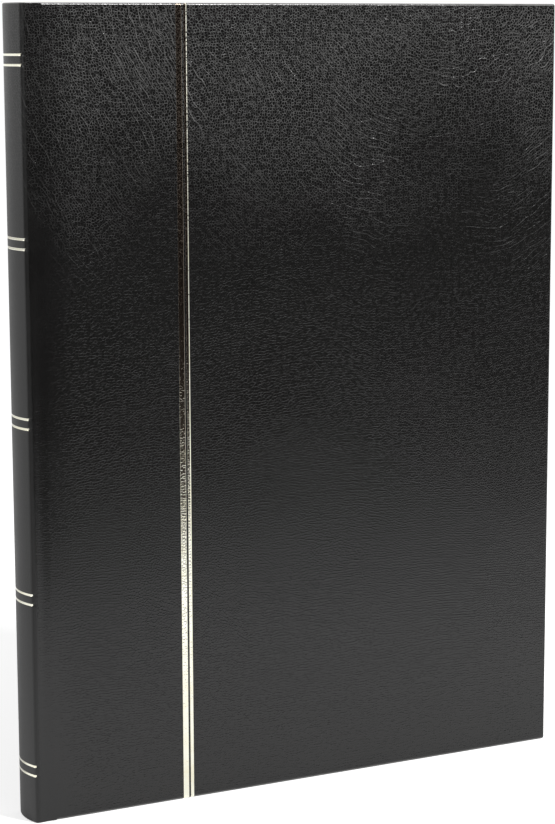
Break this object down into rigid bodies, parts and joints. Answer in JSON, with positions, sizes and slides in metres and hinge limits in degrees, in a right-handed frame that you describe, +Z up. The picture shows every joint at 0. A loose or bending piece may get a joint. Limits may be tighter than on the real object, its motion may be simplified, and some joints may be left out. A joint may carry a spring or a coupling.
{
  "type": "stamp album",
  "caption": "Hard-cover stamp stockbook with a rounded spine, covers that open and leaves with clear strip pockets, hinged on linen, with glassine sheets between them.",
  "frame": {"origin": "middle of the bottom of the closed album's bounding box, on the surface it stands on", "axes": "+Z up the spine, +X from the spine to the fore edge, -Y out of the front cover"},
  "size_m": [0.23, 0.0174, 0.305],
  "materials": {
    "leatherette": "black pebbled leatherette, satin",
    "gold_foil": "stamped gold foil, mirror bright",
    "greyboard": "raw grey binder's board",
    "endpaper": "black endpaper, matt",
    "black_card": "black dyed card, matt",
    "linen": "black woven linen hinge",
    "clear_film": "clear polyester strip, glossy",
    "glassine": "translucent glassine paper"
  },
  "bodies": {
    "spine_and_block": {"spine_board": "greyboard", "spine_leatherette": "leatherette", "spine_gold_bands": "gold_foil", "spine_lining": "linen", "guard_strips": "black_card", "guard_linen": "linen", "spacer_strips": "greyboard", "interleaf_stubs": "glassine", "front_endpaper_stub": "endpaper", "back_endpaper_stub": "endpaper"},
    "front_cover": {"front_board": "greyboard", "front_leatherette": "leatherette", "front_gold_lines": "gold_foil", "front_pastedown": "endpaper"},
    "back_cover": {"back_board": "greyboard", "back_leatherette": "leatherette", "back_pastedown": "endpaper"},
    "leaf_1": {"leaf_1_card": "black_card", "leaf_1_linen": "linen", "leaf_1_strips": "clear_film"},
    "leaf_2": {"leaf_2_card": "black_card", "leaf_2_linen": "linen", "leaf_2_strips": "clear_film"},
    "leaf_3": {"leaf_3_card": "black_card", "leaf_3_linen": "linen", "leaf_3_strips": "clear_film"},
    "leaf_4": {"leaf_4_card": "black_card", "leaf_4_linen": "linen", "leaf_4_strips": "clear_film"},
    "leaf_5": {"leaf_5_card": "black_card", "leaf_5_linen": "linen", "leaf_5_strips": "clear_film"},
    "leaf_6": {"leaf_6_card": "black_card", "leaf_6_linen": "linen", "leaf_6_strips": "clear_film"},
    "leaf_7": {"leaf_7_card": "black_card", "leaf_7_linen": "linen", "leaf_7_strips": "clear_film"},
    "leaf_8": {"leaf_8_card": "black_card", "leaf_8_linen": "linen", "leaf_8_strips": "clear_film"},
    "interleaf_1": {"interleaf_1": "glassine"},
    "interleaf_2": {"interleaf_2": "glassine"},
    "interleaf_3": {"interleaf_3": "glassine"},
    "interleaf_4": {"interleaf_4": "glassine"},
    "interleaf_5": {"interleaf_5": "glassine"},
    "interleaf_6": {"interleaf_6": "glassine"},
    "interleaf_7": {"interleaf_7": "glassine"}
  },
  "joints": [
    {"name": "front_cover_joint", "type": "hinge", "parent": "spine_and_block", "child": "front_cover", "pos_m": [-0.10829, -0.00885, 0], "axis": [0, 0, -1], "range_deg": [0, 180]},
    {"name": "back_cover_joint", "type": "hinge", "parent": "spine_and_block", "child": "back_cover", "pos_m": [-0.10829, 0.00885, 0], "axis": [0, 0, 1], "range_deg": [0, 180]},
    {"name": "leaf_1_turn", "type": "hinge", "parent": "spine_and_block", "child": "leaf_1", "pos_m": [-0.0992, -0.0049, 0], "axis": [0, 0, -1], "range_deg": [0, 90]},
    {"name": "interleaf_1_turn", "type": "hinge", "parent": "spine_and_block", "child": "interleaf_1", "pos_m": [-0.0992, -0.0042, 0], "axis": [0, 0, -1], "range_deg": [0, 78]},
    {"name": "leaf_2_turn", "type": "hinge", "parent": "spine_and_block", "child": "leaf_2", "pos_m": [-0.0992, -0.0035, 0], "axis": [0, 0, -1], "range_deg": [0, 66]},
    {"name": "interleaf_2_turn", "type": "hinge", "parent": "spine_and_block", "child": "interleaf_2", "pos_m": [-0.0992, -0.0028, 0], "axis": [0, 0, -1], "range_deg": [0, 54]},
    {"name": "leaf_3_turn", "type": "hinge", "parent": "spine_and_block", "child": "leaf_3", "pos_m": [-0.0992, -0.0021, 0], "axis": [0, 0, -1], "range_deg": [0, 42]},
    {"name": "interleaf_3_turn", "type": "hinge", "parent": "spine_and_block", "child": "interleaf_3", "pos_m": [-0.0992, -0.0014, 0], "axis": [0, 0, -1], "range_deg": [0, 30]},
    {"name": "leaf_4_turn", "type": "hinge", "parent": "spine_and_block", "child": "leaf_4", "pos_m": [-0.0992, -0.0007, 0], "axis": [0, 0, -1], "range_deg": [0, 18]},
    {"name": "interleaf_4_turn", "type": "hinge", "parent": "spine_and_block", "child": "interleaf_4", "pos_m": [-0.0992, 0, 0], "axis": [0, 0, -1], "range_deg": [0, 6]},
    {"name": "leaf_8_turn", "type": "hinge", "parent": "spine_and_block", "child": "leaf_8", "pos_m": [-0.0992, 0.0049, 0], "axis": [0, 0, 1], "range_deg": [0, 90]},
    {"name": "interleaf_7_turn", "type": "hinge", "parent": "spine_and_block", "child": "interleaf_7", "pos_m": [-0.0992, 0.0042, 0], "axis": [0, 0, 1], "range_deg": [0, 78]},
    {"name": "leaf_7_turn", "type": "hinge", "parent": "spine_and_block", "child": "leaf_7", "pos_m": [-0.0992, 0.0035, 0], "axis": [0, 0, 1], "range_deg": [0, 66]},
    {"name": "interleaf_6_turn", "type": "hinge", "parent": "spine_and_block", "child": "interleaf_6", "pos_m": [-0.0992, 0.0028, 0], "axis": [0, 0, 1], "range_deg": [0, 54]},
    {"name": "leaf_6_turn", "type": "hinge", "parent": "spine_and_block", "child": "leaf_6", "pos_m": [-0.0992, 0.0021, 0], "axis": [0, 0, 1], "range_deg": [0, 42]},
    {"name": "interleaf_5_turn", "type": "hinge", "parent": "spine_and_block", "child": "interleaf_5", "pos_m": [-0.0992, 0.0014, 0], "axis": [0, 0, 1], "range_deg": [0, 30]},
    {"name": "leaf_5_turn", "type": "hinge", "parent": "spine_and_block", "child": "leaf_5", "pos_m": [-0.0992, 0.0007, 0], "axis": [0, 0, 1], "range_deg": [0, 18]}
  ],
  "couplings": [
    {"joint": "leaf_1_turn", "follows": "front_cover_joint", "ratio": 0.5},
    {"joint": "interleaf_1_turn", "follows": "front_cover_joint", "ratio": 0.43333},
    {"joint": "leaf_2_turn", "follows": "front_cover_joint", "ratio": 0.36667},
    {"joint": "interleaf_2_turn", "follows": "front_cover_joint", "ratio": 0.3},
    {"joint": "leaf_3_turn", "follows": "front_cover_joint", "ratio": 0.23333},
    {"joint": "interleaf_3_turn", "follows": "front_cover_joint", "ratio": 0.16667},
    {"joint": "leaf_4_turn", "follows": "front_cover_joint", "ratio": 0.1},
    {"joint": "interleaf_4_turn", "follows": "front_cover_joint", "ratio": 0.033333},
    {"joint": "leaf_8_turn", "follows": "back_cover_joint", "ratio": 0.5},
    {"joint": "interleaf_7_turn", "follows": "back_cover_joint", "ratio": 0.43333},
    {"joint": "leaf_7_turn", "follows": "back_cover_joint", "ratio": 0.36667},
    {"joint": "interleaf_6_turn", "follows": "back_cover_joint", "ratio": 0.3},
    {"joint": "leaf_6_turn", "follows": "back_cover_joint", "ratio": 0.23333},
    {"joint": "interleaf_5_turn", "follows": "back_cover_joint", "ratio": 0.16667},
    {"joint": "leaf_5_turn", "follows": "back_cover_joint", "ratio": 0.1}
  ]
}
